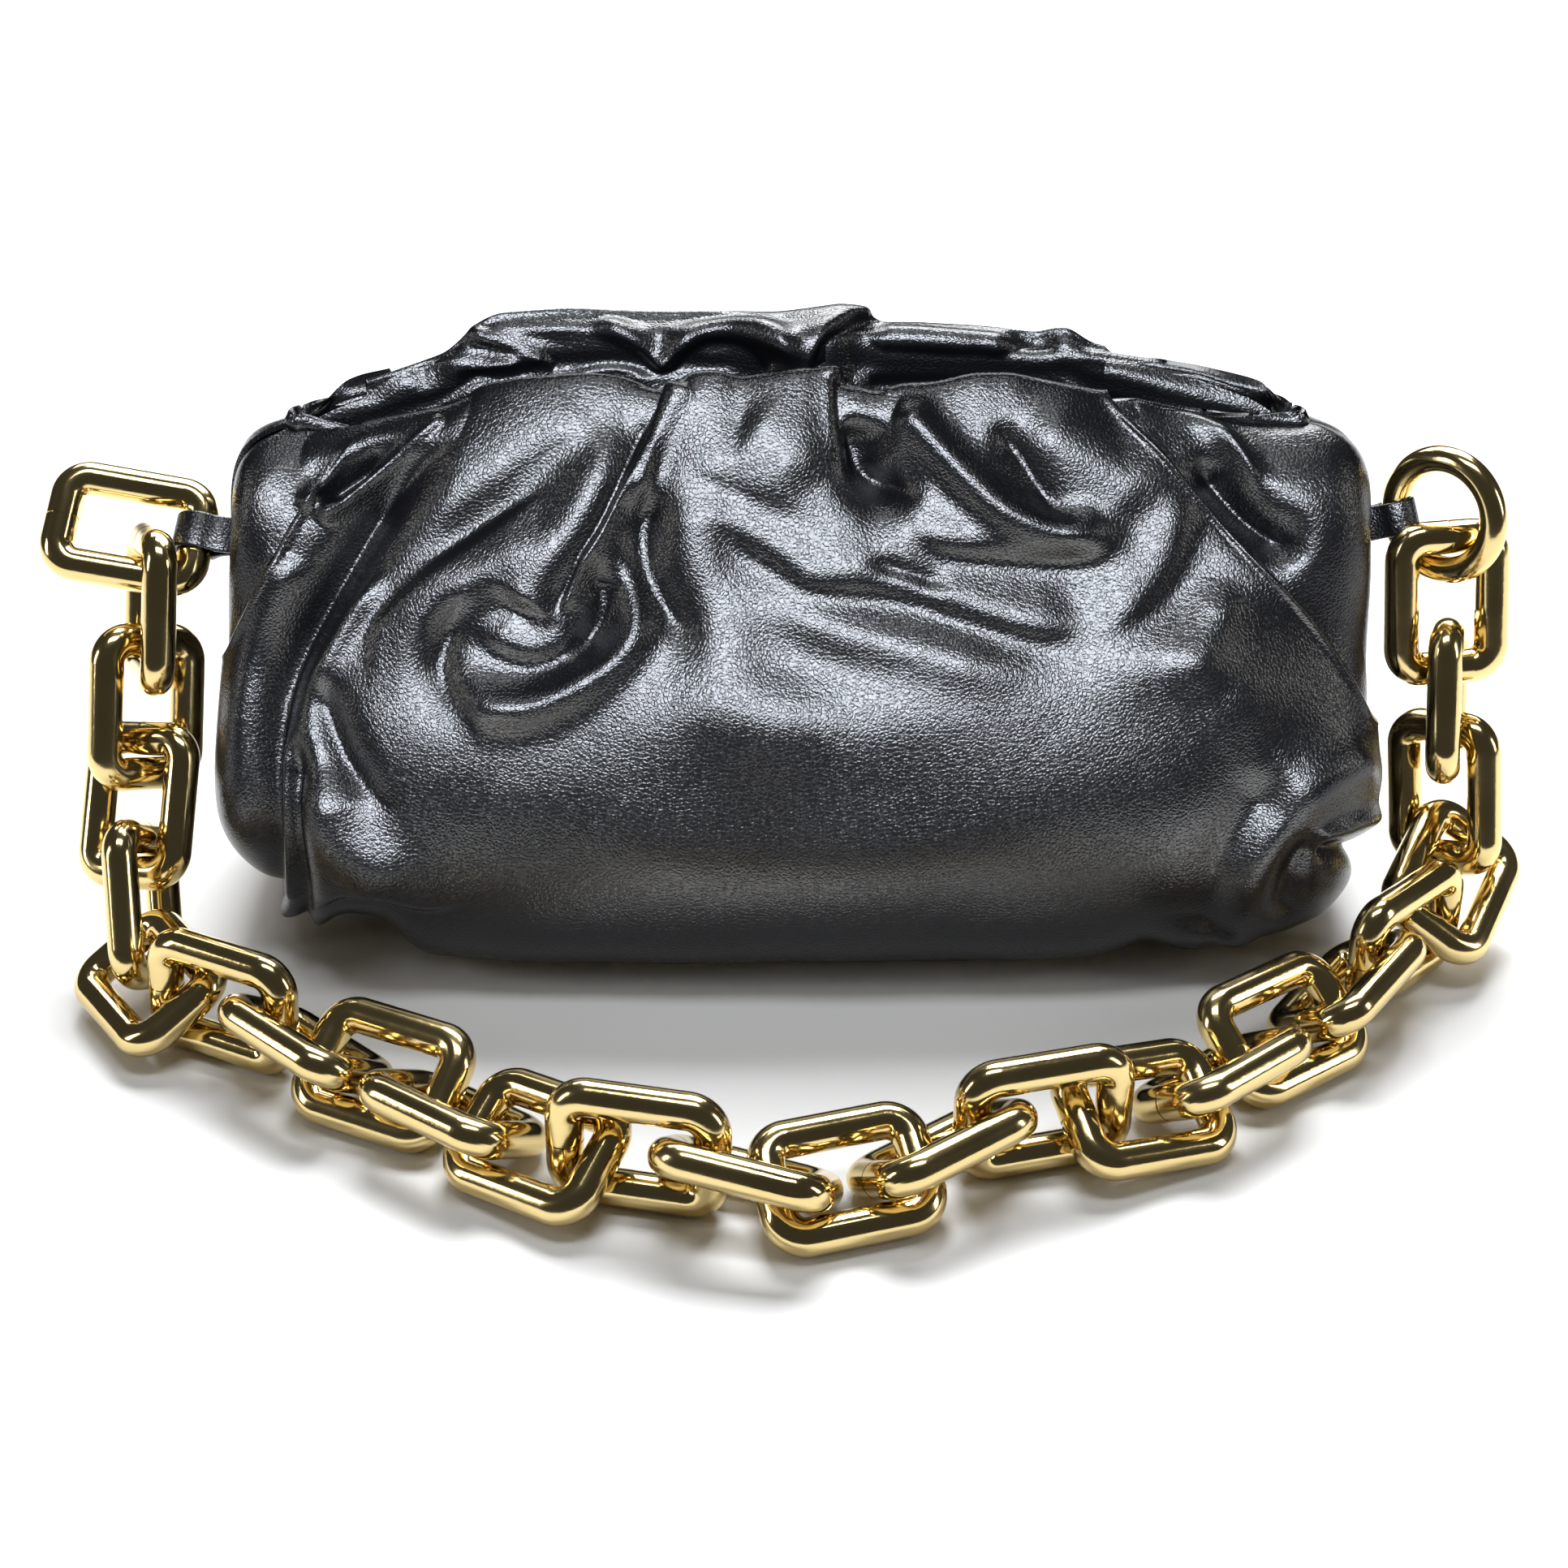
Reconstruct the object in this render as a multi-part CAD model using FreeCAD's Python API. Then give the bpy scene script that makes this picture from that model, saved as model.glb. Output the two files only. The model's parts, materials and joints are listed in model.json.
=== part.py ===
import FreeCAD, Part
import os
import math

# Chain shoulder bag: a soft gathered leather pouch on a hidden hinged frame,
# with a heavy chain strap of rounded-rectangle links. Units mm, +Z up, the
# front faces -Y, the origin is the middle of the base's underside.

# ---- chain ----
LINK_LENGTH = 42.5          # outer length of a link
LINK_WIDTH = 31.8           # outer width of a link
LINK_WIRE = 8.6             # wire diameter of a link
LINK_CORNER = 5.6           # corner radius of the wire's centre line
SEAM_WIDTH = 0.45           # closing seam of a link: a fine groove round one short side
SEAM_DEPTH = 0.22
RING_RADIUS = 14.1          # centre-line radius of the end ring
RING_WIRE = 6.8             # wire diameter of the end ring

# ---- pouch ----
WALL = 3.0                  # leather with its backing
LINING_GAP = 0.2
LINING_WALL = 1.0
PLAN_POWER = 2.4            # fullness of the plan outline
BASE_THICK = 4.0
GUSSET_X = 118.0            # seam between front or rear panel and gusset
LINING_TOP = 110.0
# height, half width, half depth of the pouch's outer outline
SECTIONS = [
    (4.0, 128.0, 44.0),
    (22.0, 141.0, 56.0),
    (46.0, 147.5, 61.0),
    (80.0, 143.8, 54.0),
    (114.0, 138.5, 43.0),
]

# ---- mouth ----
MOUTH_Z = 114.0             # height of the mouth's hinge line
LIP_RADIUS_FRONT = 33.5
LIP_RADIUS_REAR = 40.5      # crest of the rear lip stands higher
LIP_SKIRT = 36.0
LIP_WALL = 3.2
# place along the mouth and size of the lip there
LIP_SCALE = [(0.0, 1.0), (52.0, 0.99), (80.0, 0.83), (100.0, 0.66), (115.0, 0.53), (128.0, 0.40)]
FRAME_WIRE = 4.0
FRAME_ANGLE = 72.0
PIN_RADIUS = 2.0
PIN_CLEAR = 0.05
EYE_RADIUS = 4.6
EYE_WIDTH = 4.0
FRONT_EYE_X = 129.0         # middle of the front half's hinge eye
REAR_EYE_X = 124.0
PIN_IN, PIN_OUT = 120.5, 134.4
MAGNET_WIDTH, MAGNET_THICK, MAGNET_LOW = 14.0, 2.4, 134.0
MAGNET_GAP = 2.2            # half the gap between the two magnets

# ---- tabs ----
SWING_Y, SWING_Z = 4.0, 104.0   # the line that the strap swings about
TAB_STEM = 3.4
TAB_STEM_CLEAR = 0.05
TAB_STEM_IN = 134.6
LEFT_TAB_RADIUS, LEFT_TAB_LENGTH = 6.2, 9.0
RIGHT_TAB_RADIUS, RIGHT_TAB_LENGTH = 5.6, 8.4
ANCHOR_IN, ANCHOR_OUT = 132.2, 139.5
ANCHOR_HALF = 8.0
ANCHOR_LOW, ANCHOR_HIGH = 95.5, 115.0

# link number, centre, long axis, normal of its plane
LINKS = [
    (1, (-168.57, 3.0, 101.48), (0.9816, 0.0, -0.1908), (0.1337, -0.7136, 0.6877)),
    (2, (-162.92, -8.18, 84.6), (-0.0626, -0.2921, -0.9543), (-0.9144, -0.3664, 0.1721)),
    (3, (-164.32, -17.81, 61.73), (-0.0373, -0.4071, -0.9126), (0.7032, -0.6595, 0.2655)),
    (4, (-165.73, -31.18, 40.82), (-0.0616, -0.5716, -0.8182), (-0.3471, -0.7563, 0.5546)),
    (5, (-162.86, -48.59, 22.5), (0.1022, -0.5692, -0.8158), (0.9743, -0.1082, 0.1975)),
    (6, (-158.23, -67.59, 12.4), (0.5927, -0.8054, 0.0075), (-0.3702, -0.2641, 0.8906)),
    (7, (-137.52, -80.8, 16.05), (0.8935, -0.449, 0.0001), (-0.447, -0.8895, 0.0949)),
    (8, (-115.93, -93.05, 12.12), (0.77, -0.6357, -0.0557), (0.4182, 0.4368, 0.7965)),
    (9, (-96.33, -103.35, 11.34), (0.9, -0.436, 0.0), (-0.2571, -0.5307, 0.8076)),
    (10, (-78.54, -117.34, 10.61), (0.8206, -0.5715, 0.0), (0.3013, 0.4325, 0.8498)),
    (11, (-58.29, -129.75, 11.2), (0.83, -0.5516, 0.0821), (-0.3353, -0.3758, 0.8639)),
    (12, (-35.01, -136.67, 16.09), (0.9765, -0.2153, 0.0), (-0.2152, -0.9761, 0.031)),
    (13, (-11.2, -141.64, 12.92), (0.9631, -0.2475, -0.1058), (0.2291, 0.5478, 0.8046)),
    (14, (10.97, -139.85, 10.17), (0.956, 0.2933, 0.0), (0.1434, -0.4674, 0.8723)),
    (15, (32.4, -131.98, 12.16), (0.8402, 0.535, 0.0889), (-0.3704, 0.4463, 0.8146)),
    (16, (55.51, -123.72, 16.09), (0.9658, 0.2591, 0.0), (0.2589, -0.9652, -0.0361)),
    (17, (79.14, -116.6, 11.46), (0.9119, 0.3901, -0.1273), (0.2914, -0.3972, 0.8703)),
    (18, (98.73, -103.61, 11.32), (0.7736, 0.6336, 0.0001), (-0.3728, 0.4551, 0.8086)),
    (19, (116.0, -85.91, 11.62), (0.8137, 0.5813, 0.0), (0.3567, -0.4992, 0.7897)),
    (20, (133.99, -69.92, 12.39), (0.6265, 0.7706, 0.1168), (-0.5024, 0.2847, 0.8164)),
    (21, (151.44, -52.4, 16.1), (0.7169, 0.6972, 0.0), (0.6972, -0.7169, -0.0047)),
    (22, (166.41, -34.44, 20.37), (0.4687, 0.8237, 0.3191), (0.362, -0.5086, 0.7812)),
    (23, (165.78, -19.67, 37.98), (-0.048, 0.3063, 0.9507), (-0.706, -0.6837, 0.1846)),
    (24, (165.13, -13.74, 62.3), (-0.0056, 0.3321, 0.9432), (0.9537, -0.2818, 0.1049)),
    (25, (163.2, -9.36, 86.96), (-0.0518, 0.2054, 0.9773), (0.0885, -0.9738, 0.2094)),
]
RING = ((160.87, -5.0, 109.24), (0.0, 0.12, 1.0), (-0.7193, -0.6947, 0.12))
RING_TAB_ANGLE = 20.0       # how far below the ring's middle its tab holds it

V = FreeCAD.Vector
os.makedirs("parts", exist_ok=True)


def save(name, shape):
    solids = shape.Solids
    if len(solids) != 1:
        solids = sorted(solids, key=lambda s: -s.Volume)
        print(name, "has", len(shape.Solids), "solids", [round(s.Volume, 2) for s in solids])
    solid = solids[0]
    if not solid.isValid():
        print(name, "is not valid")
    solid.exportStep("parts/%s.step" % name)
    b = solid.BoundBox
    print("%-16s vol %9.1f  x %7.1f %7.1f  y %7.1f %7.1f  z %7.1f %7.1f" % (name, solid.Volume, b.XMin, b.XMax, b.YMin, b.YMax, b.ZMin, b.ZMax))
    return solid


# ---------------------------------------------------------------- pouch shell
def outline(z, half_width, half_depth, inset):
    """A closed smooth plan outline, drawn in by the inset."""
    a, b = half_width - inset, half_depth - inset
    e = 2.0 / PLAN_POWER
    pts = []
    count = 40
    for i in range(count):
        t = 2 * math.pi * (i + 0.5) / count
        c, s = math.cos(t), math.sin(t)
        pts.append(V(a * math.copysign(abs(c) ** e, c), b * math.copysign(abs(s) ** e, s), z))
    curve = Part.BSplineCurve()
    curve.interpolate(pts, PeriodicFlag=True)
    return Part.Wire([curve.toShape()])


def vessel(inset):
    return Part.makeLoft([outline(z, a, b, inset) for z, a, b in SECTIONS], True, False)


outer = vessel(0.0)
inner = vessel(WALL)
shell = outer.cut(inner)

lining_outer = vessel(WALL + LINING_GAP)
lining_inner = vessel(WALL + LINING_GAP + LINING_WALL)
lining = lining_outer.cut(lining_inner)
lining = lining.cut(Part.makeBox(400, 200, 100, V(-200, -100, LINING_TOP)))

far = 400.0
front_half = Part.makeBox(far, 200, 300, V(-far / 2, -200, -50))
middle = Part.makeBox(2 * GUSSET_X, 400, 300, V(-GUSSET_X, -200, -50))
front_panel = shell.common(middle).common(front_half)
rear_panel = shell.common(middle).cut(front_half)
left_gusset = shell.common(Part.makeBox(200, 400, 300, V(-GUSSET_X - 200, -200, -50)))
right_gusset = shell.common(Part.makeBox(200, 400, 300, V(GUSSET_X, -200, -50)))
z0, base_a, base_b = SECTIONS[0]
base = Part.Face(outline(0.0, base_a, base_b, 0.0)).extrude(V(0, 0, BASE_THICK))

# stem holes through the ends, on the strap's swing line
stem_hole_r = TAB_STEM + TAB_STEM_CLEAR
left_bore = Part.makeCylinder(stem_hole_r, 60, V(-TAB_STEM_IN + 0.3, SWING_Y, SWING_Z), V(-1, 0, 0))
right_bore = Part.makeCylinder(stem_hole_r, 60, V(TAB_STEM_IN - 0.3, SWING_Y, SWING_Z), V(1, 0, 0))
left_gusset = left_gusset.cut(left_bore)
right_gusset = right_gusset.cut(right_bore)
lining = lining.cut(left_bore).cut(right_bore)

# hinge pins and the anchors that hold them
left_pin = Part.makeCylinder(PIN_RADIUS, PIN_OUT - PIN_IN, V(-PIN_IN, 0, MOUTH_Z), V(-1, 0, 0))
right_pin = Part.makeCylinder(PIN_RADIUS, PIN_OUT - PIN_IN, V(PIN_IN, 0, MOUTH_Z), V(1, 0, 0))


def anchor(side, gusset, pin, bore):
    x0 = ANCHOR_IN if side > 0 else -ANCHOR_OUT
    block = Part.makeBox(ANCHOR_OUT - ANCHOR_IN, 2 * ANCHOR_HALF, ANCHOR_HIGH - ANCHOR_LOW, V(x0, -ANCHOR_HALF, ANCHOR_LOW))
    block = block.cut(gusset).cut(lining).cut(pin).cut(bore)
    return sorted(block.Solids, key=lambda s: -s.Volume)[0]


# the part of an anchor block that lies outside the gusset is dropped with the cut
def trimmed_anchor(side, gusset, pin, bore):
    block = anchor(side, gusset, pin, bore)
    keep = inner.fuse(Part.makeBox(2 * 136.6, 2 * ANCHOR_HALF, 40, V(-136.6, -ANCHOR_HALF, SECTIONS[-1][0])))
    block = block.common(keep)
    return sorted(block.Solids, key=lambda s: -s.Volume)[0]


left_anchor = trimmed_anchor(-1, left_gusset, left_pin, left_bore)
right_anchor = trimmed_anchor(1, right_gusset, right_pin, right_bore)


# ---------------------------------------------------------------- mouth
def lip_radius(angle, crest):
    """The skirt is round about the hinge line; the upper part grows to the crest."""
    t = min(max((angle - 40.0) / 45.0, 0.0), 1.0)
    return LIP_SKIRT + (crest - LIP_SKIRT) * t * t * (3 - 2 * t)


def lip_section(x, scale, side, crest):
    def pts(wall):
        out = []
        for i in range(13):
            angle = 89.0 * i / 12.0
            r = (lip_radius(angle, crest) - wall) * scale
            a = math.radians(angle)
            y = max(r * math.cos(a), 0.55) if i == 12 else r * math.cos(a)
            out.append(V(x, side * y, MOUTH_Z + r * math.sin(a)))
        return out

    p, q = pts(0.0), pts(LIP_WALL)
    c1 = Part.BSplineCurve()
    c1.interpolate(p)
    c2 = Part.BSplineCurve()
    c2.interpolate(q[::-1])
    return Part.Wire([c1.toShape(), Part.makeLine(p[-1], q[-1]), c2.toShape(), Part.makeLine(q[0], p[0])])


def lip(side, crest):
    stations = [(-x, s) for x, s in LIP_SCALE[::-1]] + LIP_SCALE[1:]
    return Part.makeLoft([lip_section(x, s, side, crest) for x, s in stations], True, False)


front_lip = lip(-1, LIP_RADIUS_FRONT)
rear_lip = lip(1, LIP_RADIUS_REAR)


def frame_half(side, crest, eye_x):
    """A wire arch just inside the lip, with an eye at each end."""
    a = math.radians(FRAME_ANGLE)
    half = []
    for x, s in LIP_SCALE:
        if x > eye_x - 5:
            continue
        r = (lip_radius(FRAME_ANGLE, crest) - LIP_WALL) * s - FRAME_WIRE / 2 - 2.4
        half.append((x, r))
    if side < 0:
        half.append((eye_x - 2.4, EYE_RADIUS + 4.0))     # the front wire clears the rear eye
    half.append((eye_x, EYE_RADIUS - 0.6))
    line = [(-x, r) for x, r in half[::-1]] + half[1:]
    pts = [V(x, side * r * math.cos(a), MOUTH_Z + r * math.sin(a)) for x, r in line]
    path = Part.BSplineCurve()
    path.interpolate(pts)
    edge = path.toShape()
    start = edge.valueAt(edge.FirstParameter)
    tangent = edge.tangentAt(edge.FirstParameter)
    ring = Part.Wire([Part.makeCircle(FRAME_WIRE / 2, start, tangent)])
    rod = Part.Wire([edge]).makePipeShell([ring], True, False)
    shape = rod
    for sx in (-1, 1):
        shape = shape.fuse(Part.makeCylinder(EYE_RADIUS, EYE_WIDTH, V(sx * eye_x - EYE_WIDTH / 2, 0, MOUTH_Z), V(1, 0, 0)))
    for sx in (-1, 1):
        # what the rod's end leaves outside the eye's own width is trimmed
        shape = shape.cut(Part.makeCylinder(PIN_RADIUS + PIN_CLEAR, 14, V(sx * eye_x - 7, 0, MOUTH_Z), V(1, 0, 0)))
        x0 = eye_x + EYE_WIDTH / 2 if sx > 0 else -eye_x - EYE_WIDTH / 2 - 20
        shape = shape.cut(Part.makeBox(20, 40, 40, V(x0, -20, MOUTH_Z - 20)))
    return shape.removeSplitter()


front_frame = frame_half(-1, LIP_RADIUS_FRONT, FRONT_EYE_X)
rear_frame = frame_half(1, LIP_RADIUS_REAR, REAR_EYE_X)


def magnet(side, lip_shape, crest):
    y0 = MAGNET_GAP if side > 0 else -MAGNET_GAP - MAGNET_THICK
    high = MOUTH_Z + crest - LIP_WALL + 0.6
    block = Part.makeBox(MAGNET_WIDTH, MAGNET_THICK, high - MAGNET_LOW, V(-MAGNET_WIDTH / 2, y0, MAGNET_LOW))
    block = block.cut(lip_shape)
    return sorted(block.Solids, key=lambda s: -s.Volume)[0]


front_magnet = magnet(-1, front_lip, LIP_RADIUS_FRONT)
rear_magnet = magnet(1, rear_lip, LIP_RADIUS_REAR)


# ---------------------------------------------------------------- chain
def make_link(seam_end):
    a = (LINK_LENGTH - LINK_WIRE) / 2
    b = (LINK_WIDTH - LINK_WIRE) / 2
    c = LINK_CORNER
    r = LINK_WIRE / 2
    bits = []
    for sy in (-1, 1):
        bits.append(Part.makeCylinder(r, 2 * (a - c), V(-a + c, sy * b, 0), V(1, 0, 0)))
    for sx in (-1, 1):
        bits.append(Part.makeCylinder(r, 2 * (b - c), V(sx * a, -b + c, 0), V(0, 1, 0)))
    for cx, cy, turn in ((a - c, b - c, 0), (-a + c, b - c, 90), (-a + c, -b + c, 180), (a - c, -b + c, 270)):
        disc = Part.Face(Part.Wire([Part.makeCircle(r, V(c, 0, 0), V(0, 1, 0))]))
        corner = disc.revolve(V(0, 0, 0), V(0, 0, 1), 90)
        corner.rotate(V(0, 0, 0), V(0, 0, 1), turn)
        corner.translate(V(cx, cy, 0))
        bits.append(corner)
    shape = bits[0].multiFuse(bits[1:]).removeSplitter()
    at = V(seam_end * a, -SEAM_WIDTH / 2, 0)
    groove = Part.makeCylinder(r + 1.0, SEAM_WIDTH, at, V(0, 1, 0)).cut(Part.makeCylinder(r - SEAM_DEPTH, SEAM_WIDTH, at, V(0, 1, 0)))
    return shape.cut(groove)


def placed(shape, centre, long_axis, normal):
    t = V(*long_axis).normalize()
    n = V(*normal)
    n = n.sub(V(t).multiply(n.dot(t))).normalize()
    w = n.cross(t)
    m = FreeCAD.Matrix(t.x, w.x, n.x, centre[0], t.y, w.y, n.y, centre[1], t.z, w.z, n.z, centre[2], 0, 0, 0, 1)
    out = shape.copy()
    out.Placement = FreeCAD.Placement(m)
    return out, t, w, n


link_near = make_link(-1)
link_far = make_link(1)
links = {}
link_axes = {}
for number, centre, long_axis, normal in LINKS:
    links[number], t, w, n = placed(link_near if number < 22 else link_far, centre, long_axis, normal)
    link_axes[number] = (V(*centre), t, w, n)

ring_shape = Part.makeTorus(RING_RADIUS, RING_WIRE / 2)
end_ring, ring_t, ring_w, ring_n = placed(ring_shape, *RING)


# ---------------------------------------------------------------- tabs
def stem(side, reach):
    length = reach - TAB_STEM_IN
    return Part.makeCylinder(TAB_STEM, length, V(side * TAB_STEM_IN, SWING_Y, SWING_Z), V(side, 0, 0))


c1, t1, w1, n1 = link_axes[1]
hold = (LINK_LENGTH - LINK_WIRE) / 2
mid = c1.add(V(t1).multiply(hold)).add(V(w1).multiply(1.5))
loop = Part.makeCylinder(LEFT_TAB_RADIUS, LEFT_TAB_LENGTH, mid.sub(V(w1).multiply(LEFT_TAB_LENGTH / 2)), w1)
left_tab = loop.fuse(stem(-1, 150.5)).cut(links[1])
left_tab = sorted(left_tab.Solids, key=lambda s: -s.Volume)[0]

ring_centre = V(*RING[0])
across = V(ring_n.y, -ring_n.x, 0).normalize()          # level, in the ring's plane
if across.x > 0:
    across = across.multiply(-1)
drop = ring_n.cross(across).normalize()
if drop.z > 0:
    drop = drop.multiply(-1)
a = math.radians(RING_TAB_ANGLE)
spoke = V(across).multiply(math.cos(a)).add(V(drop).multiply(math.sin(a)))
tangent = V(across).multiply(-math.sin(a)).add(V(drop).multiply(math.cos(a)))
mid = ring_centre.add(V(spoke).multiply(RING_RADIUS))
loop = Part.makeCylinder(RIGHT_TAB_RADIUS, RIGHT_TAB_LENGTH, mid.sub(V(tangent).multiply(RIGHT_TAB_LENGTH / 2)), tangent)
right_tab = loop.fuse(stem(1, 150.5)).cut(end_ring)
right_tab = sorted(right_tab.Solids, key=lambda s: -s.Volume)[0]

# ---------------------------------------------------------------- files
save("base", base)
save("front_panel", front_panel)
save("rear_panel", rear_panel)
save("left_gusset", left_gusset)
save("right_gusset", right_gusset)
save("lining", lining)
save("left_pin", left_pin)
save("right_pin", right_pin)
save("left_anchor", left_anchor)
save("right_anchor", right_anchor)
save("front_lip", front_lip)
save("rear_lip", rear_lip)
save("front_frame", front_frame)
save("rear_frame", rear_frame)
save("front_magnet", front_magnet)
save("rear_magnet", rear_magnet)
save("left_tab", left_tab)
save("right_tab", right_tab)
save("end_ring", end_ring)
for number in sorted(links):
    save("chain_link_%02d" % number, links[number])
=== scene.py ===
import bpy
import json
import math
import numpy as np
from mathutils import Vector, Matrix

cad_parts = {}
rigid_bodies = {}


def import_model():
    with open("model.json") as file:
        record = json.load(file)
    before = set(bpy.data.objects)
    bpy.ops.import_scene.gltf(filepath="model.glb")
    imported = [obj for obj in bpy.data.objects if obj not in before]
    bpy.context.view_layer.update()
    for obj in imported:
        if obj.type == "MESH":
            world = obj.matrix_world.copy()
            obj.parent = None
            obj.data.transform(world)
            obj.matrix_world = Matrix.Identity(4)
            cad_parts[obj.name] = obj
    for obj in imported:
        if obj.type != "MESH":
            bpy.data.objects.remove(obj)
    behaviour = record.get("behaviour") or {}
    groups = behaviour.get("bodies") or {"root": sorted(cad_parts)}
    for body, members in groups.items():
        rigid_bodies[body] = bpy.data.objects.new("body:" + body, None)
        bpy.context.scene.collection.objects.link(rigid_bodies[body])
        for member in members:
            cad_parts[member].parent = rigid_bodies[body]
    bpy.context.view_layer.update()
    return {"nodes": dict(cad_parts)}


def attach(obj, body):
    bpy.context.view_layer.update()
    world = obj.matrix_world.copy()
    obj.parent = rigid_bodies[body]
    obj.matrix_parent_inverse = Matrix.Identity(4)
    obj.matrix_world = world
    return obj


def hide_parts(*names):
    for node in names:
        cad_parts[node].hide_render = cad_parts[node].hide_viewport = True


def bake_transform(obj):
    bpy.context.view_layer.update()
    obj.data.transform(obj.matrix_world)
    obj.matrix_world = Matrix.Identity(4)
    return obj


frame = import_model()
nodes = frame["nodes"]
MM = 0.001

# ------------------------------------------------------------------ camera
# The camera's place is in mm; the middle of the view looks at LOOK, which lies at pixel CENTRE of a 1932 px square.
EYE = np.array([0.0, -603.2, 384.0])
LOOK = np.array([0.0, 0.0, 70.0])
FOCAL = 3257.0
CENTRE = (982.0, 795.0)
SIZE = 1932.0
fwd = (LOOK - EYE) / np.linalg.norm(LOOK - EYE)
right = np.array([1.0, 0.0, 0.0])
up = np.cross(right, fwd)

cam_data = bpy.data.cameras.new("camera")
cam_data.sensor_width = 36.0
cam_data.lens = FOCAL / SIZE * 36.0
cam_data.shift_x = (SIZE / 2 - CENTRE[0]) / SIZE
cam_data.shift_y = -(SIZE / 2 - CENTRE[1]) / SIZE
cam = bpy.data.objects.new("camera", cam_data)
bpy.context.scene.collection.objects.link(cam)
rot = Matrix((right, up, -fwd)).transposed()
cam.matrix_world = Matrix.Translation(Vector(EYE * MM)) @ rot.to_4x4()
cam_data.clip_end = 50
bpy.context.scene.camera = cam


def to_px(p):
    """Picture place of points in mm, (..., 3) to (..., 2)."""
    r = p - EYE
    d = r @ fwd
    return np.stack([CENTRE[0] + FOCAL * (r @ right) / d, CENTRE[1] - FOCAL * (r @ up) / d], -1)


def px_at_depth_y(px, py, y):
    """The point (x, z) at depth y that is seen at a picture place."""
    k = (CENTRE[1] - py) / FOCAL
    ry = y - EYE[1]
    rz = ry * (fwd[1] * k - up[1]) / (up[2] - fwd[2] * k)
    d = ry * fwd[1] + rz * fwd[2]
    return (px - CENTRE[0]) * d / FOCAL, rz + EYE[2]


# ------------------------------------------------------------------ materials
def new_material(name):
    m = bpy.data.materials.new(name)
    m.use_nodes = True
    nt = m.node_tree
    return m, nt, nt.nodes["Principled BSDF"]


def add(nt, kind, **values):
    n = nt.nodes.new(kind)
    for k, v in values.items():
        if k in n.inputs:
            n.inputs[k].default_value = v
        else:
            setattr(n, k, v)
    return n


def leather_material(name, tone=(0.0010, 0.0010, 0.0012)):
    m, nt, bsdf = new_material(name)
    L = nt.links.new
    co = add(nt, "ShaderNodeTexCoord")
    # pores and fine grain
    cells = add(nt, "ShaderNodeTexVoronoi", Scale=1000.0)
    cells.feature = "DISTANCE_TO_EDGE"
    L(co.outputs["Object"], cells.inputs["Vector"])
    fine = add(nt, "ShaderNodeTexNoise", Scale=1350.0, Detail=1.5, Roughness=0.5)
    L(co.outputs["Object"], fine.inputs["Vector"])
    broad = add(nt, "ShaderNodeTexNoise", Scale=60.0, Detail=2.0, Roughness=0.45)
    L(co.outputs["Object"], broad.inputs["Vector"])
    edge = add(nt, "ShaderNodeMapRange")
    edge.inputs["From Max"].default_value = 0.25
    L(cells.outputs["Distance"], edge.inputs["Value"])
    mix = add(nt, "ShaderNodeMath", operation="MULTIPLY_ADD")
    L(edge.outputs["Result"], mix.inputs[0])
    mix.inputs[1].default_value = 0.45
    L(fine.outputs["Fac"], mix.inputs[2])
    bump = add(nt, "ShaderNodeBump", Strength=0.5, Distance=0.00019)
    L(mix.outputs["Value"], bump.inputs["Height"])
    bump2 = add(nt, "ShaderNodeBump", Strength=0.22, Distance=0.0016)
    L(broad.outputs["Fac"], bump2.inputs["Height"])
    L(bump2.outputs["Normal"], bump.inputs["Normal"])
    L(bump.outputs["Normal"], bsdf.inputs["Normal"])
    # colour: faint blue-grey variation, a little lighter on the grain's tops
    ramp = add(nt, "ShaderNodeMix")
    ramp.data_type = "RGBA"
    ramp.inputs[6].default_value = (*tone, 1)
    ramp.inputs[7].default_value = (tone[0] * 1.9, tone[1] * 1.9, tone[2] * 2.1, 1)
    L(broad.outputs["Fac"], ramp.inputs[0])
    L(ramp.outputs[2], bsdf.inputs["Base Color"])
    rough = add(nt, "ShaderNodeMapRange")
    rough.inputs["To Min"].default_value = 0.23
    rough.inputs["To Max"].default_value = 0.27
    L(broad.outputs["Fac"], rough.inputs["Value"])
    L(rough.outputs["Result"], bsdf.inputs["Roughness"])
    bsdf.inputs["Specular IOR Level"].default_value = 0.42
    bsdf.inputs["Coat Weight"].default_value = 0.0
    return m


def lining_material(name):
    m, nt, bsdf = new_material(name)
    L = nt.links.new
    co = add(nt, "ShaderNodeTexCoord")
    w1 = add(nt, "ShaderNodeTexWave", Scale=420.0, Distortion=0.6)
    w1.bands_direction = "X"
    w2 = add(nt, "ShaderNodeTexWave", Scale=420.0, Distortion=0.6)
    w2.bands_direction = "Z"
    L(co.outputs["Object"], w1.inputs["Vector"])
    L(co.outputs["Object"], w2.inputs["Vector"])
    s = add(nt, "ShaderNodeMath", operation="ADD")
    L(w1.outputs["Fac"], s.inputs[0])
    L(w2.outputs["Fac"], s.inputs[1])
    bump = add(nt, "ShaderNodeBump", Strength=0.25, Distance=0.0004)
    L(s.outputs["Value"], bump.inputs["Height"])
    L(bump.outputs["Normal"], bsdf.inputs["Normal"])
    c = add(nt, "ShaderNodeMix")
    c.data_type = "RGBA"
    c.inputs[6].default_value = (0.0035, 0.0033, 0.0036, 1)
    c.inputs[7].default_value = (0.0075, 0.0071, 0.0078, 1)
    L(w1.outputs["Fac"], c.inputs[0])
    L(c.outputs[2], bsdf.inputs["Base Color"])
    bsdf.inputs["Roughness"].default_value = 0.78
    bsdf.inputs["Specular IOR Level"].default_value = 0.12
    return m


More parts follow.
